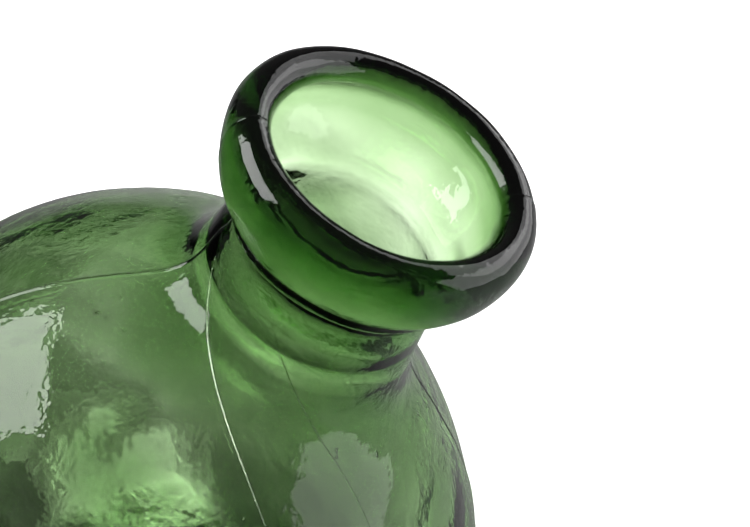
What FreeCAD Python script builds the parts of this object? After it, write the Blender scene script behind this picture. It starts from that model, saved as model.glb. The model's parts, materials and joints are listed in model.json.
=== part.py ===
import FreeCAD, Part
import math
import os

# A leaning glass carboy: an egg-shaped blown body on a flat foot, and a short wide
# neck that leans towards +X and ends in a tooled collar and a heavy rolled lip.
# Z is up, the table is z = 0, and the origin is the middle of the foot.
# The glass is cut into nodes at the lines where the glassmaker's tools part.

# Body, in millimetres
BODY_RADIUS = 140.0  # outside, at the widest plane
WAIST_HEIGHT = 115.0  # widest plane above the table
SHOULDER_RISE = 168.0  # semi-axis of the egg above the widest plane
BELLY_DROP = 130.0  # semi-axis of the egg below the widest plane
WALL = 4.6
FLOOR = 9.0  # inside floor above the table, at its edge
HEEL_RADIUS = 25.0  # outside rounding between wall and foot
INNER_HEEL_RADIUS = 22.0
PUNT_RADIUS = 44.0  # edge of the shallow hollow pushed up under the foot
PUNT_HEIGHT = 5.0

# Neck: s is the distance along its leaning axis from the middle of the widest plane
LEAN = 25.0  # degrees from upright, towards +X
NECK_RADIUS = 43.8
THROAT_RADIUS = 39.6  # the narrowest way in, and a true cylinder
THROAT_LAND = 8.0  # how far the cylinder goes on inside the collar
SHOULDER_FILLET = 62.0  # sweep from the egg into the neck, outside
INNER_SHOULDER_FILLET = 60.0
COLLAR_S = 203.5  # underside of the collar

# Collar and lip
COLLAR_RADIUS = 48.8  # at the collar's lower edge
COLLAR_EDGE = 1.6  # rounding of that edge
LIP_RADIUS = 62.8  # largest radius of the mouth
LIP_S = 236.0  # where the lip is widest
LIP_SWEEP = 34.8  # radius of the outside curve from the lip down to the collar
LIP_HALF_WIDTH = 8.6  # radial half width of the rolled bead
LIP_TOP = 11.5  # height of the bead above its widest line

# Where the tools part
BASE_SPLIT = 14.0  # height of the bottom plate's ring
SHOULDER_SPLIT_S = 150.0  # top of the body mould
LIP_SPLIT_S = 218.0  # between the collar tool and the rolled bead

FAR = 600.0  # larger than the whole vessel

V = FreeCAD.Vector


def egg_point(radius, semi_axis, z):
    """The point of a half ellipse at height z from the widest plane."""
    return V(radius * math.sqrt(1 - (z / semi_axis) ** 2), 0, z)


def quarter_ellipse(radius, semi_axis, start, end):
    """An edge of the ellipse of the two semi-axes, through three of its own points."""
    upright = semi_axis >= radius
    sign = 1 if end.z > start.z else -1
    long_end = V(0, 0, sign * semi_axis) if upright else V(radius, 0, 0)
    short_end = V(radius, 0, 0) if upright else V(0, 0, sign * semi_axis)
    curve = Part.Ellipse(long_end, short_end, V(0, 0, 0))
    low = curve.parameter(start)
    high = curve.parameter(end)
    return curve.toShape(min(low, high), max(low, high))


def solid_of(shape):
    """The single closed solid of a shape."""
    return shape.Solids[0] if shape.Solids else Part.Solid(Part.Shell(shape.Faces))


def spin(edges, axis):
    """A solid of revolution from the closed outline of edges in the XZ plane."""
    face = Part.Face(Part.Wire(Part.__sortEdges__(edges)))
    return solid_of(face.revolve(V(0, 0, 0), axis, 360))


def egg(radius, rise, drop, floor_z):
    """The egg above floor_z, with its widest plane at z = 0 and its surface seam at +Y."""
    waist = V(radius, 0, 0)
    crown = V(0, 0, rise)
    heel = egg_point(radius, drop, floor_z)
    middle = V(0, 0, floor_z)
    upper = quarter_ellipse(radius, rise, waist, crown)
    lower = quarter_ellipse(radius, drop, waist, heel)
    whole = spin([upper, lower, Part.makeLine(heel, middle), Part.makeLine(middle, crown)], V(0, 0, 1))
    return whole.rotate(V(0, 0, 0), V(0, 0, 1), 90)


def neck_axis():
    """The unit vector along the leaning neck, out of the mouth."""
    return V(math.sin(math.radians(LEAN)), 0, math.cos(math.radians(LEAN)))


def lean(shape):
    """Turns a shape made about +Z over to the neck's axis."""
    return shape.rotate(V(0, 0, 0), V(0, 1, 0), LEAN)


def round_edges(solid, radius, wanted):
    """The solid with its chosen edges rounded."""
    return solid_of(solid.makeFillet(radius, [e for e in solid.Edges if wanted(e.BoundBox)]))


def is_neck_joint(box):
    """The edge where the neck leaves the egg: wide both ways, above the widest plane."""
    return box.YLength > 20 and box.XLength > 20 and box.ZMin > 20 and box.ZLength < 90


def blank(radius, rise, drop, floor_z, bore, joint_radius, heel_radius):
    """An egg and a round neck in one, with the joint and the heel rounded."""
    stem = Part.makeCylinder(bore, COLLAR_S, V(0, 0, 0), neck_axis())
    whole = solid_of(egg(radius, rise, drop, floor_z).fuse(stem))
    top = COLLAR_S * math.cos(math.radians(LEAN)) - bore
    whole = round_edges(whole, joint_radius, lambda b: is_neck_joint(b) and b.ZMin < top)
    return round_edges(whole, heel_radius, lambda b: b.ZMax < floor_z + 0.01 and b.XLength > 50)


def above(s):
    """All space past s along the neck's axis."""
    block = Part.makeBox(2 * FAR, 2 * FAR, FAR, V(-FAR, -FAR, s))
    block.rotate(V(0, 0, 0), V(0, 1, 0), LEAN)
    return block


def punt():
    """The cap of a large ball that hollows the foot, rising PUNT_HEIGHT in the middle."""
    ball = (PUNT_RADIUS**2 + PUNT_HEIGHT**2) / (2 * PUNT_HEIGHT)
    return Part.makeSphere(ball, V(0, 0, PUNT_HEIGHT - ball - WAIST_HEIGHT))


def half(wall, side):
    """The part of the wall on one side of the mould seam, with spline surfaces: turned ones
    that are cut through their own axis don't survive a STEP file."""
    return wall.common(side).toNurbs()


def vessel():
    """The blown wall, from the foot to the underside of the collar."""
    outside = blank(
        BODY_RADIUS, SHOULDER_RISE, BELLY_DROP, -WAIST_HEIGHT, NECK_RADIUS, SHOULDER_FILLET, HEEL_RADIUS
    )
    inside = blank(
        BODY_RADIUS - WALL,
        SHOULDER_RISE - WALL,
        BELLY_DROP - WALL,
        FLOOR - WAIST_HEIGHT,
        THROAT_RADIUS,
        INNER_SHOULDER_FILLET,
        INNER_HEEL_RADIUS,
    )
    return outside.cut(inside).cut(punt())


def finish():
    """The collar and the lip: one outline turned about the neck's axis."""
    centre = LIP_RADIUS - LIP_HALF_WIDTH
    bead = Part.Ellipse(V(centre, 0, LIP_S + LIP_TOP), V(LIP_RADIUS, 0, LIP_S), V(centre, 0, LIP_S))
    over = bead.toShape(-math.pi / 2, math.pi / 2)
    outer = V(LIP_RADIUS, 0, LIP_S)
    inner = V(LIP_RADIUS - 2 * LIP_HALF_WIDTH, 0, LIP_S)
    sweep_centre = LIP_RADIUS - LIP_SWEEP
    edge_out = V(COLLAR_RADIUS, 0, COLLAR_S + COLLAR_EDGE)
    edge_in = V(COLLAR_RADIUS - COLLAR_EDGE, 0, COLLAR_S)
    joint_r = COLLAR_RADIUS + 1
    joint_z = LIP_S - math.sqrt(LIP_SWEEP**2 - (joint_r - sweep_centre) ** 2)
    joint = V(joint_r, 0, joint_z)
    half = math.atan2(LIP_S - joint_z, joint_r - sweep_centre) / 2
    mid = V(sweep_centre + LIP_SWEEP * math.cos(half), 0, LIP_S - LIP_SWEEP * math.sin(half))
    turn = COLLAR_EDGE * math.sqrt(0.5)
    edge_mid = V(edge_in.x + turn, 0, edge_out.z - turn)
    throat = V(THROAT_RADIUS, 0, COLLAR_S)
    land = V(THROAT_RADIUS, 0, COLLAR_S + THROAT_LAND)
    flare = Part.BSplineCurve()
    flare.interpolate(
        Points=[land, inner],
        InitialTangent=V(0, 0, 1),
        FinalTangent=V(0, 0, 1),
    )
    outline = [
        over,
        Part.Arc(outer, mid, joint).toShape(),
        Part.makeLine(joint, edge_out),
        Part.Arc(edge_out, edge_mid, edge_in).toShape(),
        Part.makeLine(edge_in, throat),
        Part.makeLine(throat, land),
        flare.toShape(),
    ]
    return lean(spin(outline, V(0, 0, 1)))


def nodes():
    """Every node's solid, still with the widest plane at z = 0."""
    glass = vessel()
    mouth = finish()
    plate = Part.makeBox(2 * FAR, 2 * FAR, FAR, V(-FAR, -FAR, BASE_SPLIT - WAIST_HEIGHT - FAR))
    front = Part.makeBox(2 * FAR, FAR, 2 * FAR, V(-FAR, -FAR, -FAR))
    rear = Part.makeBox(2 * FAR, FAR, 2 * FAR, V(-FAR, 0, -FAR))
    upper = above(SHOULDER_SPLIT_S)
    bead = above(LIP_SPLIT_S)
    body = glass.cut(plate).cut(upper)
    return {
        "base": glass.common(plate),
        "body_front": half(body, front),
        "body_rear": half(body, rear),
        "neck": glass.common(upper),
        "neck_collar": mouth.cut(bead),
        "lip_ring": mouth.common(bead),
    }


def main():
    os.makedirs("parts", exist_ok=True)
    for name, shape in nodes().items():
        shape.translate(V(0, 0, WAIST_HEIGHT))
        solid = solid_of(shape)
        solid.exportStep(os.path.join("parts", name + ".step"))
        box = solid.BoundBox
        print(
            f"{name}: valid {solid.isValid()}, solids {len(shape.Solids)}, "
            f"{solid.Volume / 1000:.1f} cm3, z {box.ZMin:.2f} to {box.ZMax:.2f}"
        )


main()
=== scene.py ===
# %% [markdown]
# # A leaning glass carboy
#
# The object is one piece of clear green glass: an egg-shaped body that was blown into
# a two-part mould, a short neck that leans over to +X, a tooled collar and a heavy
# rolled lip. It has no loose part and no moving part. What makes it look real is the
# wall: a closed skin with a true inside and outside, a little uneven as blown glass is,
# filled with a green that darkens with the length of the light's path through it.
#
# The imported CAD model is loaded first. It is the fixed frame. The main sizes are read
# from it or repeat its driving dimensions in metres; the smaller ones belong to the looks.

# %% Load the frame
import json
import math

import bpy
import numpy as np
from mathutils import Matrix, Vector


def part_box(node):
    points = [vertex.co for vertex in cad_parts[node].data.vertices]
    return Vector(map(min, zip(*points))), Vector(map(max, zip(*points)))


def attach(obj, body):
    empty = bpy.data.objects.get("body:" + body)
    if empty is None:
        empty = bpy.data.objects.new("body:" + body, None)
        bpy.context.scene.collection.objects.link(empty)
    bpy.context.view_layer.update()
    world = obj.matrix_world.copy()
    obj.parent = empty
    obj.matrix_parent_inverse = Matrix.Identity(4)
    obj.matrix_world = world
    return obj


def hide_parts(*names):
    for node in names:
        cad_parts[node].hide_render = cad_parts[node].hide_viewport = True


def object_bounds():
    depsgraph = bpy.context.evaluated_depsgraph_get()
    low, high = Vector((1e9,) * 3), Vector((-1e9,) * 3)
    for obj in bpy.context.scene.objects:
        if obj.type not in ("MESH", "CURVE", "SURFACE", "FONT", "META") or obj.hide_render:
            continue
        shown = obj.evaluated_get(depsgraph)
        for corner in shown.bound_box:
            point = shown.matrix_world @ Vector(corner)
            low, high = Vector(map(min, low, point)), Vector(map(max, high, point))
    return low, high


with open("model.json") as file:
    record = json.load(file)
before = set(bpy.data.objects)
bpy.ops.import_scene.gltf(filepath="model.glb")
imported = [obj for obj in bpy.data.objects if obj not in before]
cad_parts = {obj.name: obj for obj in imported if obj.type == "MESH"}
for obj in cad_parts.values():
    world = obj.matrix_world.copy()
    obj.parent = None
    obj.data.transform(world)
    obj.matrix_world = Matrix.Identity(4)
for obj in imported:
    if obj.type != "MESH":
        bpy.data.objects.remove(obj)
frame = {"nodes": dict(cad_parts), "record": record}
cad_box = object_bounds()
print("CAD nodes:", ", ".join(sorted(frame["nodes"])))

# %% [markdown]
# ## Sizes
#
# The leaning axis is the axis of the throat, so it comes from that mount. It crosses
# the upright axis at the body's widest plane, the waist. Every point of the neck and
# the lip is then given by s, its distance along the leaning axis from the waist's
# centre, and r, its distance from that axis.

# %% Axes and sizes
mount = {m["name"]: m for m in frame["record"]["mounts"]}["throat_bore"]
AXIS = np.array(mount["axis"]) / np.linalg.norm(mount["axis"])
SIDE = np.array([0.0, 1.0, 0.0])
LEAN = math.asin(AXIS[0])
WAIST = mount["pos_m"][2] - mount["pos_m"][0] * AXIS[2] / AXIS[0]
CENTRE = np.array([0.0, 0.0, WAIST])
THROAT = mount["dims"]["r_mm"] / 1000

BODY = (cad_box[1][1] - cad_box[0][1]) / 2  # radius of the body at the waist
WALL = 0.0046
RISE = 0.168  # semi-axis of the egg above the waist
DROP = 0.130  # and below it
FOOT = 0.058  # radius of the ring that the body stands on
PUNT = 0.044  # radius of the hollow pushed up under the foot
PUNT_RISE = 0.005
FLOOR = 0.009  # height of the inside floor
NECK = 0.0432  # a little less than the solid's, because the sweep adds to it
SWEEP = 7.5  # how tightly egg and neck meet outside: the larger, the sharper
INNER_SWEEP = 9.0  # and inside
COLLAR_S = 0.2035  # underside of the collar
COLLAR = 0.0488
LIP = (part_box("lip_ring")[1][1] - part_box("lip_ring")[0][1]) / 2
LIP_S = 0.236  # where the lip is widest
LIP_HALF = 0.0086  # radial half width of the rolled bead
LIP_TOP = 0.0115  # height of the bead above its widest line
RING = 0.0040  # height of the thick fold inside the front of the throat
RING_S = 0.1915
RING_WIDTH = 0.0075
INNER_S = 0.172  # where the throat begins to open into the body
BORE = THROAT - 0.0003  # the throat's radius in the uneven glass
HUB = 0.0015  # radius of the innermost ring at the middle of the foot and of the floor
CUP = 0.0070  # how far the mouth's inside bulges out below the bead
LIP_SWEEP = 0.0348  # radius of the outside curve from the lip down to the collar
print(f"lean {math.degrees(LEAN):.1f} deg, waist {WAIST:.4f} m, body {BODY:.4f} m, lip {LIP:.4f} m")

# %% [markdown]
# ## The camera
#
# A long lens looks down at the neck from in front, so the mouth opens towards the
# viewer and the body runs out of the frame at the lower left.

# %% Camera
CAMERA_AZIMUTH = math.radians(-3.58)
CAMERA_ELEVATION = math.radians(45.76)
CAMERA_DISTANCE = 8.0 * BODY
AIM = CENTRE + BODY * np.array([0.7305, 0.5795, 0.6076])


def camera_frame(azimuth, elevation):
    """The camera's back, right and up directions: azimuth 0 looks along +Y."""
    back = np.array([
        math.sin(azimuth) * math.cos(elevation),
        -math.cos(azimuth) * math.cos(elevation),
        math.sin(elevation),
    ])
    right = np.array([math.cos(azimuth), math.sin(azimuth), 0.0])
    return back, right, np.cross(back, right)


def add_camera(aim, azimuth, elevation, distance, lens):
    """A camera that looks at aim from the given side and height."""
    back, right, up = camera_frame(azimuth, elevation)
    camera = bpy.data.objects.new("camera", bpy.data.cameras.new("camera"))
    turn = Matrix(np.array([right, up, back]).T.tolist())
    camera.matrix_world = Matrix.Translation(Vector(aim + distance * back)) @ turn.to_4x4()
    camera.data.lens = lens
    camera.data.clip_start = 0.05
    bpy.context.scene.collection.objects.link(camera)
    bpy.context.scene.camera = camera
    return camera


camera = add_camera(AIM, CAMERA_AZIMUTH, CAMERA_ELEVATION, CAMERA_DISTANCE, lens=125.5)
print("camera at", [round(x, 3) for x in camera.location])

# %% [markdown]
# ## The wall as a grid of rings
#
# The glass could be turned as a lathe outline, but the body is round about the upright
# axis and the neck is round about the leaning one. So the wall is a grid: its rows are
# rings that start level at the foot and lean over little by little as they climb, and
# its columns run from the foot to the mouth. The columns are closest together at the
# mould seam, which lies in the plane of the lean.

# %% Columns
def columns(count, crowd):
    """Angles round the ring, evenly spread but for a pull towards the seam at 0 and pi:
    angle = t - crowd / 2 * sin(2 t), whose spacing is smallest where sin(2 t) crosses zero."""
    t = np.linspace(0.0, 2 * math.pi, count, endpoint=False)
    return t - crowd / 2 * np.sin(2 * t)


ANGLES = columns(236, crowd=0.84)
print("columns:", ANGLES.size, "closest", round(math.degrees(ANGLES[1] - ANGLES[0]), 2), "deg apart")


# %% Reach of the egg and of the neck
def smooth(x):
    """The smooth step 3 x^2 - 2 x^3 between 0 and 1."""
    x = np.clip(x, 0.0, 1.0)
    return x * x * (3 - 2 * x)


def egg_reach(way, radius, rise, drop):
    """Distance from the waist's centre to the egg along unit vectors:
    1 / sqrt((x^2 + y^2) / radius^2 + z^2 / height^2)."""
    height = np.where(way[..., 2] > 0, rise, drop)
    level = (way[..., 0] ** 2 + way[..., 1] ** 2) / radius**2
    return 1 / np.sqrt(level + (way[..., 2] / height) ** 2)


def wall_reach(way, radius, rise, drop, neck, power):
    """Egg and neck in one: (egg^p + cylinder^p)^(1/p), which sweeps from one into the
    other. The cylinder's reach is its radius over the sine of the angle to its axis."""
    along = way @ AXIS
    off = np.sqrt(np.maximum(1 - along**2, 1e-9))
    tube = np.where(along > 0, neck / off, 0.0)
    return (egg_reach(way, radius, rise, drop) ** power + tube**power) ** (1 / power)


def leaning_rings(opening, angles):
    """Unit vectors for rings that open from the leaning axis by each angle in opening.
    The rings' own axis turns from upright at the waist to the full lean at 35 degrees."""
    lean = LEAN * smooth((math.radians(90) - opening) / math.radians(55))
    axis = np.stack([np.sin(lean), 0 * lean, np.cos(lean)], -1)
    across = np.stack([np.cos(lean), 0 * lean, -np.sin(lean)], -1)
    turn = np.cos(angles)[None, :, None] * across[:, None] + np.sin(angles)[None, :, None] * SIDE
    return np.cos(opening)[:, None, None] * axis[:, None] + np.sin(opening)[:, None, None] * turn


def upper_wall(opening, radius, rise, drop, neck, power):
    """The rings of the wall above the waist."""
    way = leaning_rings(opening, ANGLES)
    return CENTRE + wall_reach(way, radius, rise, drop, neck, power)[..., None] * way


def about_upright(r, z):
    """Level rings of radius r at height z."""
    ring = np.cos(ANGLES)[:, None] * np.array([1.0, 0, 0]) + np.sin(ANGLES)[:, None] * SIDE
    return r[:, None, None] * ring + z[:, None, None] * np.array([0, 0, 1.0])


def about_lean(r, s):
    """Rings of radius r at distance s along the leaning axis."""
    across = np.array([AXIS[2], 0.0, -AXIS[0]])
    ring = np.cos(ANGLES)[:, None] * across + np.sin(ANGLES)[:, None] * SIDE
    return CENTRE + r[:, None, None] * ring + s[:, None, None] * AXIS


# %% [markdown]
# ## The outlines
#
# The foot, the heel and the inside floor are outlines about the upright axis. The
# collar and the lip are outlines about the leaning axis: a groove and a small ledge under
# the collar, one sweeping arc out to the widest line of the lip, a half ellipse over the
# top, and a hollow curve down inside to the throat. The rear has an outline of its own,
# with a plain slope in place of the groove and a hollower inside, which keeps the view
# through the mouth pale.

# %% Outlines
def resample(r, z, count):
    """The same outline with points evenly spread along its length."""
    run = np.concatenate([[0], np.cumsum(np.hypot(np.diff(r), np.diff(z)))])
    at = np.linspace(0, run[-1], count)
    return np.interp(at, run, r), np.interp(at, run, z)


def bezier(a, b, c, count):
    """The quadratic curve from a to c that leaves towards b and arrives from it."""
    t = np.linspace(0, 1, count)[:, None]
    return (1 - t) ** 2 * np.array(a) + 2 * t * (1 - t) * np.array(b) + t**2 * np.array(c)


def egg_below(radius, drop, low, high, count):
    """The egg's outline between two heights below the waist."""
    z = np.linspace(low, high, count)
    return np.stack([radius * np.sqrt(1 - ((z - WAIST) / drop) ** 2), z], -1)


def foot_outline(count):
    """Outside, from the middle of the foot to the waist: the push-up's shallow arc, the
    flat ring, the rounded heel and the lower egg."""
    r = np.linspace(HUB, PUNT, 60)
    punt = np.stack([r, PUNT_RISE * (1 - (r / PUNT) ** 2)], -1)
    wall = egg_below(BODY, DROP, 0.0035, WAIST, 400)
    heel = bezier((FOOT, 0.0), (BODY * math.sqrt(1 - (WAIST / DROP) ** 2), 0.0), wall[0], 30)
    line = np.concatenate([punt, heel, wall])
    return resample(line[:, 0], line[:, 1], count)


def floor_outline(count):
    """Inside, from the waist down to the middle of the floor."""
    edge, height, dome = 0.046, FLOOR + 0.0012, 0.0030
    wall = egg_below(BODY - WALL, DROP - WALL, 0.017, WAIST, 400)[::-1]
    heel = bezier(wall[-1], (0.068, FLOOR), (edge, height), 30)
    r = np.linspace(edge, HUB, 40)
    floor = np.stack([r, height + dome * (1 - (r / edge) ** 2)], -1)
    line = np.concatenate([wall, heel, floor])
    return resample(line[:, 0], line[:, 1], count)


def lip_outline(count, undercut):
    """Outside from the neck up, over the collar and lip, down inside past the throat. With
    an undercut there is a groove below the collar. Without one a plain slope joins the
    outer arc higher up, the bead stops short of its inner edge and the inside is hollower."""
    sweep = LIP - LIP_SWEEP
    low = math.acos((COLLAR + 0.001 - sweep) / LIP_SWEEP)
    t = np.linspace(-low, 0, 60)
    arc = np.stack([sweep + LIP_SWEEP * np.cos(t), LIP_S + LIP_SWEEP * np.sin(t)], -1)
    over = 1.0 if undercut else 0.86
    t = np.linspace(0, math.pi * over, 80)
    bead = np.stack([LIP - LIP_HALF + LIP_HALF * np.cos(t), LIP_S + LIP_TOP * np.sin(t)], -1)
    neck = np.array([[NECK + 0.0009, 0.1925], [NECK + 0.0005, 0.1950], [NECK + 0.0003, 0.1970]])
    groove = bezier(neck[-1], (NECK + 0.0003, COLLAR_S), (COLLAR - 0.0010, COLLAR_S - 0.0002), 20)
    ledge = bezier(groove[-1], (COLLAR + 0.0006, COLLAR_S), arc[0], 12)
    if not undercut:
        join = 24
        groove = bezier(neck[-1], (NECK + 0.0006, COLLAR_S + 0.0030), arc[join], 20)
        ledge, arc = arc[join : join + 2], arc[join + 1 :]
    mouth, top = bead[-1]
    t = np.linspace(0, 1, 60)
    hollow = np.sin(math.pi * t) ** 2 if undercut else 1.25 * np.sin(math.pi * t**0.7) ** 2
    cup = mouth + (THROAT - mouth) * smooth(t) + CUP * hollow
    down = np.stack([cup, top + (COLLAR_S - 0.002 - top) * t], -1)
    s = np.linspace(COLLAR_S - 0.003, INNER_S, 50)
    ring = np.stack([BORE + 0 * s, s], -1)
    line = np.concatenate([neck, groove[1:], ledge[1:], arc[1:], bead[1:], down[1:], ring])
    return resample(line[:, 0], line[:, 1], count)


# %% [markdown]
# ## Uneven glass
#
# Blown glass is never true. The outside, which touched the mould, is only gently wavy;
# the inside, which touched nothing, is lumpier. Each swell is a sum of plane waves with
# random directions, so it flows over the whole wall without a seam.

# %% Swells
def swell(points, seed, wavelength, waves=24):
    """A smooth field of about unit height: the sum of cosines of random plane waves whose
    lengths lie between 0.7 and 1.5 times wavelength."""
    rng = np.random.default_rng(seed)
    way = rng.normal(size=(waves, 3))
    way /= np.linalg.norm(way, axis=1)[:, None]
    number = 2 * math.pi / (wavelength * rng.uniform(0.7, 1.5, waves))
    phase = rng.uniform(0, 2 * math.pi, waves)
    return np.cos(points @ (way * number[:, None]).T + phase).sum(-1) * math.sqrt(2 / waves) / 1.4


def broad_swell(points):
    """The outside's unevenness in metres: half a millimetre broad and a tenth fine."""
    return 0.00045 * swell(points, 1, 0.085) + 0.00010 * swell(points, 2, 0.026)


def grid_normals(grid):
    """Unit normals of a grid of closed rings, from the cross product of its two slopes."""
    along = np.gradient(grid, axis=0)
    round_ = np.roll(grid, -1, axis=1) - np.roll(grid, 1, axis=1)
    normal = np.cross(round_, along)
    return normal / np.maximum(np.linalg.norm(normal, axis=-1), 1e-12)[..., None]


# %% [markdown]
# ## One grid for the whole wall
#
# The outlines and the leaning rings are stacked into one grid of rings, from the middle
# of the foot up the outside, over the lip and down the inside to the middle of the
# floor. The lip's two outlines, front and rear, are blended by each column's angle.

# %% Rows of the whole wall
def all_rows():
    """The wall from the middle of the foot, up the outside, over the lip and down the
    inside to the middle of the floor, as one grid, with the rows where each part starts.
    The outside stops short of the lip's first ring, so the wall never folds back."""
    foot = about_upright(*foot_outline(62))
    opening = np.radians(np.linspace(90, 13.5, 92))[1:]
    outer = upper_wall(opening, BODY, RISE, DROP, NECK, SWEEP)
    behind = smooth(0.5 + 1.1 * np.sin(ANGLES))[None, :, None]
    lip = about_lean(*lip_outline(118, True)) * (1 - behind)
    lip = lip + about_lean(*lip_outline(118, False)) * behind
    throat = math.atan2(THROAT, INNER_S)
    opening = np.linspace(throat + 0.012, math.pi / 2, 70)
    inner = upper_wall(opening, BODY - WALL, RISE - WALL, DROP - WALL, BORE, INNER_SWEEP)
    floor = about_upright(*floor_outline(46))[1:]
    parts = [foot, outer, lip, inner, floor]
    starts = np.cumsum([0] + [len(p) for p in parts])
    return np.concatenate(parts), dict(zip(("foot", "outer", "lip", "inner", "floor", "end"), starts))


wall, starts = all_rows()
TOP = int(np.argmax((wall - CENTRE).mean(1) @ AXIS))
waist = starts["outer"]
FACING = np.sign(np.sum(grid_normals(wall)[waist] * (wall[waist] - CENTRE)))
print("wall grid", wall.shape[:2], starts, "top row", TOP)

# %% [markdown]
# ## Mould seam
#
# The two halves of the mould left a thin fin of glass where they met, in the plane of
# the lean, from the heel over the shoulder and faintly across the lip. It is a narrow
# ridge, and the front half stands a little proud of the rear one.

# %% Displacements
def weights():
    """How far each row shares in the outside's and the inside's unevenness, 0 to 1. The
    change from one to the other is at the bead's top, the row furthest along the axis."""
    row = np.arange(len(wall))
    inside = smooth((row - TOP) / 24)
    ends = smooth((row - 12) / 26) * smooth((starts["end"] - 6 - row) / 20)
    return (1 - inside) * ends, inside * ends


def fold():
    """How far the inside stands inwards round the throat: a rounded fold across the front
    only, RING times exp(-((s - RING_S) / RING_WIDTH)^2)."""
    s = (wall - CENTRE) @ AXIS
    front = smooth(0.10 - 1.1 * np.sin(ANGLES))
    inside = (np.arange(len(wall)) > TOP)[:, None]
    return RING * np.exp(-(((s - RING_S) / RING_WIDTH) ** 2)) * front * inside


def displace():
    """Moves every point along the normal: broad and fine swells outside, stronger ones
    inside, the fold, and the seam's ridge exp(-(y / width)^2). Nothing sinks below z = 0."""
    normal = grid_normals(wall)
    outside, inside = (w[:, None] for w in weights())
    broad = broad_swell(wall)
    lumpy = 0.00085 * swell(wall, 3, 0.060) + 0.00022 * swell(wall, 4, 0.022)
    y = wall[..., 1]
    row = np.arange(len(wall))[:, None]
    fin = np.where(row < starts["lip"], 0.00045, 0.00018) * np.exp(-((y / 0.0007) ** 2))
    step = 0.00012 * np.tanh(-y / 0.0010)
    seam = (fin + step) * smooth((row - 30) / 10) * (1 - smooth((row - TOP) / 8))
    move = outside * broad + inside * lumpy + seam + fold()
    moved = wall + normal * (FACING * move)[..., None]
    moved[..., 2] = np.maximum(moved[..., 2], 0.0)
    return moved


glass_grid = displace()
print("largest move", round(float(np.linalg.norm(glass_grid - wall, axis=-1).max()) * 1000, 2), "mm")


# %% [markdown]
# ## Closed meshes
#
# The grid becomes quads, and a fan of triangles closes each end. The same few functions
# make the gas seeds: tiny closed hollows in the middle of the wall, whose faces look
# inwards, so that the light leaves the glass there and enters it again.

# %% The mesh
def grid_faces(rows, cols):
    """Corner numbers of the quads between neighbouring rings, all wound the same way."""
    a = np.arange(rows * cols).reshape(rows, cols)
    b = np.roll(a, -1, axis=1)
    return np.stack([a[:-1], a[1:], b[1:], b[:-1]], -1).reshape(-1, 4)


def fan_faces(ring, hub, flip):
    """Triangles from a ring of corners to a hub."""
    other = np.roll(ring, -1)
    hubs = np.full(ring.size, hub)
    tri = np.stack([ring, other, hubs], -1)
    return tri[:, ::-1] if flip else tri


def volume(points, quads, tris):
    """The signed volume inside a closed mesh: positive when its faces look outwards."""
    split = np.concatenate([quads[:, [0, 1, 2]], quads[:, [0, 2, 3]], tris])
    a, b, c = (points[split[:, i]] for i in range(3))
    return float(np.einsum("ij,ij->i", a, np.cross(b, c)).sum() / 6)


def make_mesh(name, points, quads, tris):
    """A smooth-shaded mesh object of quads and triangles, turned to face outwards."""
    if volume(points, quads, tris) < 0:
        quads, tris = quads[:, ::-1], tris[:, ::-1]
    mesh = bpy.data.meshes.new(name)
    mesh.vertices.add(len(points))
    mesh.vertices.foreach_set("co", points.astype(np.float32).ravel())
    loops = np.concatenate([quads.ravel(), tris.ravel()]).astype(np.int32)
    starts_at = np.concatenate([np.arange(len(quads)) * 4, len(quads) * 4 + np.arange(len(tris)) * 3])
    mesh.loops.add(loops.size)
    mesh.loops.foreach_set("vertex_index", loops)
    mesh.polygons.add(len(starts_at))
    mesh.polygons.foreach_set("loop_start", starts_at.astype(np.int32))
    mesh.update(calc_edges=True)
    mesh.validate()
    mesh.shade_smooth()
    piece = bpy.data.objects.new(name, mesh)
    bpy.context.scene.collection.objects.link(piece)
    print(f"{name}: {len(points)} points, {len(starts_at)} faces")
    return piece


def closed_wall(grid):
    """Points, quads and end fans of the whole wall."""
    rows, cols = grid.shape[:2]
    foot_hub = grid[0].mean(0)
    floor_hub = grid[-1].mean(0)
    points = np.concatenate([grid.reshape(-1, 3), [foot_hub, floor_hub]])
    quads = grid_faces(rows, cols)
    first = fan_faces(np.arange(cols), rows * cols, flip=False)
    last = fan_faces(np.arange(cols) + (rows - 1) * cols, rows * cols + 1, flip=True)
    return points, quads, np.concatenate([first, last])


def ball(sides, rings):
    """A closed unit ball: points, quads and end fans."""
    polar = np.linspace(0, math.pi, rings + 2)[1:-1]
    turn = np.linspace(0, 2 * math.pi, sides, endpoint=False)
    flat = np.sin(polar)[:, None] * np.stack([np.cos(turn), np.sin(turn)])[:, None]
    grid = np.stack([flat[0], flat[1], np.cos(polar)[:, None] + 0 * turn], -1)
    return closed_wall(grid)


def seeds(count, seed):
    """Small gas seeds caught in the middle of the wall, drawn out along its length."""
    rng = np.random.default_rng(seed)
    row = rng.integers(starts["outer"] + 4, starts["lip"] - 4, count)
    col = rng.integers(0, ANGLES.size, count)
    out = grid_normals(glass_grid)[row, col] * FACING
    along = glass_grid[row + 1, col] - glass_grid[row, col]
    along /= np.linalg.norm(along, axis=1)[:, None]
    across = np.cross(out, along)
    middle = glass_grid[row, col] - out * (WALL * rng.uniform(0.3, 0.7, count))[:, None]
    size = 0.00022 + 0.0007 * rng.random(count) ** 3
    shape, quads, tris = ball(10, 6)
    length = size * rng.uniform(1.0, 2.2, count)
    axes = np.stack([across * size[:, None], out * size[:, None] * 0.8, along * length[:, None]], 1)
    points = middle[:, None] + np.einsum("pk,nkd->npd", shape, axes)
    step = (np.arange(count) * len(shape))[:, None, None]
    return points.reshape(-1, 3), (quads + step).reshape(-1, 4), (tris + step).reshape(-1, 3)


def turned(points, quads, tris, outwards):
    """The faces turned so that they look outwards, or inwards for a hollow."""
    if (volume(points, quads, tris) > 0) != outwards:
        return points, quads[:, ::-1], tris[:, ::-1]
    return points, quads, tris


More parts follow.
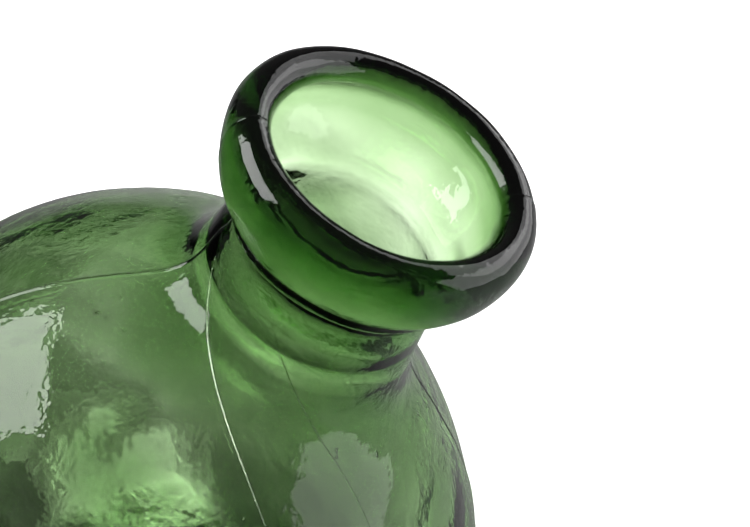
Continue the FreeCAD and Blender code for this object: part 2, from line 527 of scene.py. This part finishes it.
shell = turned(*closed_wall(glass_grid), outwards=True)
hollows = turned(*seeds(70, seed=9), outwards=False)
shift = len(shell[0])
glass = make_mesh(
    "glass_vessel",
    np.concatenate([shell[0], hollows[0]]),
    np.concatenate([shell[1], hollows[1] + shift]),
    np.concatenate([shell[2], hollows[2] + shift]),
)

# %% [markdown]
# ## Raised hair lines
#
# Two fine threads of glass fell on the shoulder while it was soft and stayed there as
# raised lines. Each runs down from the neck. Its turn round the leaning axis is a
# constant less another over a power of its opening, the angle away from that axis, so it
# swings round fast beside the neck and runs nearly straight further down.

# %% Hair lines
def hair_line(name, opening, turning, power, thick, swollen):
    """A tapering thread on the outside. Its opening goes from the first to the second value,
    in degrees, and its turn as a + b / opening^power between its own two values. It is
    thickest near its upper end, by the factor swollen."""
    t = np.linspace(0, 1, 170)
    away = np.radians(opening[0] * (opening[1] / opening[0]) ** t)
    swing = (away**-power - away[-1] ** -power) / (away[0] ** -power - away[-1] ** -power)
    turn = np.radians(turning[1] + (turning[0] - turning[1]) * swing)
    across = np.array([AXIS[2], 0.0, -AXIS[0]])
    ring = np.cos(turn)[:, None] * across + np.sin(turn)[:, None] * SIDE
    way = np.cos(away)[:, None] * AXIS + np.sin(away)[:, None] * ring
    line = CENTRE + wall_reach(way, BODY, RISE, DROP, NECK, SWEEP)[:, None] * way
    line = line + way * broad_swell(line)[:, None]
    ahead = np.gradient(line, axis=0)
    ahead /= np.linalg.norm(ahead, axis=1)[:, None]
    side = np.cross(ahead, way)
    side /= np.linalg.norm(side, axis=1)[:, None]
    up = np.cross(side, ahead)
    knot = 1 + (swollen - 1) * np.exp(-(((t - 0.16) / 0.12) ** 2))
    taper = knot * np.sqrt(np.clip(np.sin(math.pi * t), 0.02, 1))
    corner = np.linspace(0, 2 * math.pi, 10, endpoint=False)
    disc = np.cos(corner)[None, :, None] * side[:, None] + np.sin(corner)[None, :, None] * up[:, None]
    grid = line[:, None] + thick * taper[:, None, None] * disc
    return make_mesh(name, *closed_wall(grid))


hair_lines = [
    hair_line("hair_line_long", (14, 40), (-170, -85), 1.2, 0.00034, 2.4),
    hair_line("hair_line_short", (13.5, 38), (-125, -57), 2.2, 0.00030, 1.3),
]

# %% [markdown]
# ## Green glass
#
# Real bottle glass is colourless at its surface and green in its depth. So the surface
# is a plain clear glass and the green is an absorption inside it, which makes the thin
# wall light and the thick lip almost black with no painting at all. Fine ripples in the
# skin are too small for the mesh, so they are bumps.

# %% Material
def ripple_group():
    """A height that rises and falls over the surface: two noises, one fine and one broad."""
    group = bpy.data.node_groups.new("ripples", "ShaderNodeTree")
    group.interface.new_socket("Fine Scale", in_out="INPUT", socket_type="NodeSocketFloat")
    group.interface.new_socket("Broad Scale", in_out="INPUT", socket_type="NodeSocketFloat")
    group.interface.new_socket("Height", in_out="OUTPUT", socket_type="NodeSocketFloat")
    nodes, links = group.nodes, group.links
    start = nodes.new("NodeGroupInput")
    end = nodes.new("NodeGroupOutput")
    place = nodes.new("ShaderNodeTexCoord")
    fine = nodes.new("ShaderNodeTexNoise")
    broad = nodes.new("ShaderNodeTexNoise")
    fine.inputs["Detail"].default_value = 1.0
    broad.inputs["Detail"].default_value = 2.0
    links.new(place.outputs["Object"], fine.inputs["Vector"])
    links.new(place.outputs["Object"], broad.inputs["Vector"])
    links.new(start.outputs["Fine Scale"], fine.inputs["Scale"])
    links.new(start.outputs["Broad Scale"], broad.inputs["Scale"])
    mix = nodes.new("ShaderNodeMath")
    mix.operation = "MULTIPLY_ADD"
    mix.inputs[1].default_value = 0.25
    links.new(fine.outputs["Fac"], mix.inputs[0])
    links.new(broad.outputs["Fac"], mix.inputs[2])
    links.new(mix.outputs[0], end.inputs["Height"])
    return group


def green_glass(name, ripples):
    """Clear glass that holds a green absorption, with ripples on its skin."""
    material = bpy.data.materials.new(name)
    material.use_nodes = True
    nodes, links = material.node_tree.nodes, material.node_tree.links
    glass = nodes["Principled BSDF"]
    glass.inputs["Base Color"].default_value = (1.0, 1.0, 1.0, 1.0)
    glass.inputs["Roughness"].default_value = 0.0
    glass.inputs["IOR"].default_value = 1.5
    glass.inputs["Transmission Weight"].default_value = 1.0
    height = nodes.new("ShaderNodeGroup")
    height.node_tree = ripples
    height.inputs["Fine Scale"].default_value = 420.0
    height.inputs["Broad Scale"].default_value = 130.0
    bump = nodes.new("ShaderNodeBump")
    bump.inputs["Strength"].default_value = 1.0
    bump.inputs["Distance"].default_value = 0.00026
    links.new(height.outputs["Height"], bump.inputs["Height"])
    links.new(bump.outputs["Normal"], glass.inputs["Normal"])
    depth = nodes.new("ShaderNodeVolumeAbsorption")
    depth.inputs["Color"].default_value = (0.23, 0.46, 0.08, 1.0)
    depth.inputs["Density"].default_value = 238.0
    links.new(depth.outputs["Volume"], nodes["Material Output"].inputs["Volume"])
    return material


bottle_green = green_glass("bottle_green", ripple_group())
glass.data.materials.append(bottle_green)
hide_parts(*frame["nodes"])
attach(glass, "root")
for thread in hair_lines:
    thread.data.materials.append(bottle_green)
    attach(thread, "root")
print("one glass for", 1 + len(hair_lines), "pieces")

# %% [markdown]
# ## The studio
#
# Clear glass shows nothing but what stands around it. The stage is a white table that
# runs out to a white horizon, and the room above is darker, with a few large soft
# lights, so the edges of the glass draw themselves dark against the white. The table is
# that white only to the camera. To all other rays its colour is painted shade: darker, and
# graded from one side to the other as if the light fell off towards the front left, which
# gives the glass its deep and its pale places. Three lamps in front light the table but
# leave no reflection in the glass.

# %% Stage and lights
def add_floor(size):
    """A flat table at the height of the foot, white to the camera. To other rays its colour is
    painted shade, graded darker towards the front left, and reflected and scattered rays
    find it painted darker still."""
    half = size / 2
    corners = [(-half, -half, 0), (half, -half, 0), (half, half, 0), (-half, half, 0)]
    mesh = bpy.data.meshes.new("table")
    mesh.from_pydata(corners, [], [(0, 1, 2, 3)])
    table = bpy.data.objects.new("table", mesh)
    bpy.context.scene.collection.objects.link(table)
    # The table's material holds painted shade for every ray but the camera's.
    material = bpy.data.materials.new("white_table_painted_shade")
    material.use_nodes = True
    nodes, links = material.node_tree.nodes, material.node_tree.links
    surface = nodes["Principled BSDF"]
    surface.inputs["Roughness"].default_value = 0.9
    surface.inputs["Specular IOR Level"].default_value = 0.0
    path = nodes.new("ShaderNodeLightPath")
    place = nodes.new("ShaderNodeTexCoord")
    # Painted shade: for every ray but the camera's, the table grows darker towards the front left
    # along this direction.
    along = nodes.new("ShaderNodeVectorMath")
    along.operation = "DOT_PRODUCT"
    along.inputs[1].default_value = (0.87, 0.5, 0.0)
    painted_falloff = nodes.new("ShaderNodeMapRange")
    painted_falloff.inputs["From Min"].default_value = -0.05
    painted_falloff.inputs["From Max"].default_value = 0.30
    painted_falloff.inputs["To Min"].default_value = 0.05
    painted_falloff.inputs["To Max"].default_value = 0.90
    links.new(place.outputs["Object"], along.inputs[0])
    links.new(along.outputs["Value"], painted_falloff.inputs["Value"])
    # Painted shade: reflected and scattered rays find the table at 0.18 of the grade, transmission
    # rays at the full grade.
    dim = nodes.new("ShaderNodeMath")
    dim.operation = "MULTIPLY_ADD"
    dim.inputs[1].default_value = 0.82
    dim.inputs[2].default_value = 0.18
    links.new(path.outputs["Is Transmission Ray"], dim.inputs[0])
    painted_shade = nodes.new("ShaderNodeMath")
    painted_shade.operation = "MULTIPLY"
    links.new(painted_falloff.outputs["Result"], painted_shade.inputs[0])
    links.new(dim.outputs[0], painted_shade.inputs[1])
    # Camera rays see the plain white; all other rays see the painted shade.
    mix = nodes.new("ShaderNodeMix")
    mix.data_type = "RGBA"
    links.new(painted_shade.outputs[0], mix.inputs["A"])
    mix.inputs["B"].default_value = (0.95, 0.95, 0.95, 1)
    links.new(path.outputs["Is Camera Ray"], mix.inputs["Factor"])
    links.new(mix.outputs["Result"], surface.inputs["Base Color"])
    mesh.materials.append(material)
    return table


def room(grey):
    """An evenly dim room all round."""
    world = bpy.data.worlds.new("room")
    world.use_nodes = True
    bpy.context.scene.world = world
    world.node_tree.nodes["Background"].inputs["Color"].default_value = (grey, grey, grey, 1)
    return world


def soft_light(name, azimuth, elevation, distance, width, height, radiance, mirrored=True):
    """A rectangle of light that faces the vessel from the given side and height. Its power
    is pi times its area times the radiance. An unmirrored one is not seen in the glass."""
    back, right, up = camera_frame(math.radians(azimuth), math.radians(elevation))
    light = bpy.data.lights.new(name, "AREA")
    light.shape = "RECTANGLE"
    light.size, light.size_y, light.energy = width, height, math.pi * width * height * radiance
    lamp = bpy.data.objects.new(name, light)
    turn = Matrix(np.array([right, up, back]).T.tolist())
    at = CENTRE + distance * back
    lamp.matrix_world = Matrix.Translation(Vector(at)) @ turn.to_4x4()
    lamp.visible_glossy = mirrored
    bpy.context.scene.collection.objects.link(lamp)
    return lamp


add_floor(8.0)
room(0.08)
soft_light("front_wide", -4, 56, 2.6, 3.2, 3.0, 4, mirrored=False)
soft_light("front", -4, 55, 2.5, 2.2, 2.0, 6, mirrored=False)
soft_light("front_core", -4, 54, 2.4, 1.3, 1.2, 12, mirrored=False)
soft_light("key", -103, 48, 1.2, 1.0, 0.62, 6.0)
soft_light("right", 100, 10, 1.3, 2.2, 0.95, 1.7)
soft_light("back_right", 118, 26, 1.6, 1.5, 0.7, 1.4)

scene = bpy.context.scene
scene.view_settings.view_transform = "Standard"
scene.cycles.max_bounces = 24
scene.cycles.transmission_bounces = 24
scene.cycles.glossy_bounces = 12

# %% [markdown]
# ## Finish
#
# The box of the solids is printed.

# %% Sizes kept and done
print("CAD box", [[round(x, 4) for x in c] for c in cad_box])
